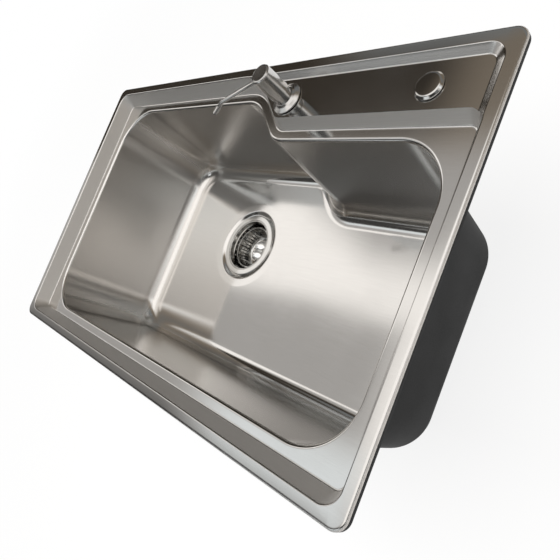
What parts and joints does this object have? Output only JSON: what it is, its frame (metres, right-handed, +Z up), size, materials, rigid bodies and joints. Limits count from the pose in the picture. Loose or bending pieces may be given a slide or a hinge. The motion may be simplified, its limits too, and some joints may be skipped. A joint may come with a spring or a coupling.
{
  "type": "kitchen sink",
  "caption": "Pressed steel inset kitchen sink with a deep stepped bowl, tap deck, lift-out basket strainer, push-down soap pump with bottle, and a cover on the tap hole.",
  "frame": {"origin": "middle of the rim, in the plane of the worktop that the rim rests on", "axes": "+X along the sink to its right-hand end, +Y to the rear, +Z up"},
  "size_m": [0.75, 0.45, 0.338],
  "materials": {
    "sink_steel": "satin, with a dark sprayed coating on the outside of the bowl",
    "strainer_steel": "polished",
    "bright_chrome": "polished",
    "seal_rubber": "matte",
    "white_plastic": "moulded",
    "black_plastic": "moulded",
    "clear_plastic": "translucent"
  },
  "bodies": {
    "sink": {"sink_rim": "sink_steel", "sink_ledge": "sink_steel", "sink_floor": "sink_steel", "corner_front_left": "sink_steel", "wall_front": "sink_steel", "corner_front_right": "sink_steel", "wall_right": "sink_steel", "corner_deck": "sink_steel", "wall_deck": "sink_steel", "bend_nose": "sink_steel", "wall_slant": "sink_steel", "bend_heel": "sink_steel", "wall_rear": "sink_steel", "corner_rear_left": "sink_steel", "wall_left": "sink_steel", "strainer_body": "strainer_steel", "strainer_gasket": "seal_rubber", "strainer_lower_gasket": "seal_rubber", "strainer_friction_ring": "white_plastic", "strainer_lock_nut": "white_plastic", "pump_flange": "bright_chrome", "pump_gasket": "seal_rubber", "pump_washer": "white_plastic", "pump_nut": "black_plastic", "pump_collar": "bright_chrome", "pump_housing": "white_plastic", "pump_spring": "strainer_steel", "pump_dip_tube": "clear_plastic", "soap_bottle": "clear_plastic", "cover_cap": "bright_chrome", "cover_stud": "strainer_steel", "cover_gasket": "seal_rubber", "cover_washer": "white_plastic", "cover_wing_nut": "black_plastic"},
    "basket": {"basket": "strainer_steel", "basket_post": "strainer_steel", "basket_knob": "strainer_steel", "basket_stopper": "seal_rubber", "basket_clip": "strainer_steel"},
    "pump_stem": {"pump_piston": "white_plastic"},
    "pump_head": {"pump_sleeve": "bright_chrome", "pump_button": "bright_chrome", "pump_spout": "bright_chrome", "pump_nozzle": "bright_chrome"},
    "check_ball": {"pump_check_ball": "strainer_steel"}
  },
  "joints": [
    {"name": "basket_lift", "type": "slide", "parent": "sink", "child": "basket", "axis": [0, 0, 1], "range_m": [0, 0.07]},
    {"name": "pump_press", "type": "slide", "parent": "sink", "child": "pump_stem", "axis": [0, 0, -1], "range_m": [0, 0.008], "stiffness_N_per_m": 500, "springref_m": -0.01, "deforming": ["pump_spring"]},
    {"name": "pump_turn", "type": "hinge", "parent": "pump_stem", "child": "pump_head", "pos_m": [0.098, 0.175, 0.04], "axis": [0, 0, 1], "continuous": true},
    {"name": "check_ball_lift", "type": "slide", "parent": "sink", "child": "check_ball", "axis": [0, 0, 1], "range_m": [0, 0.002]}
  ]
}
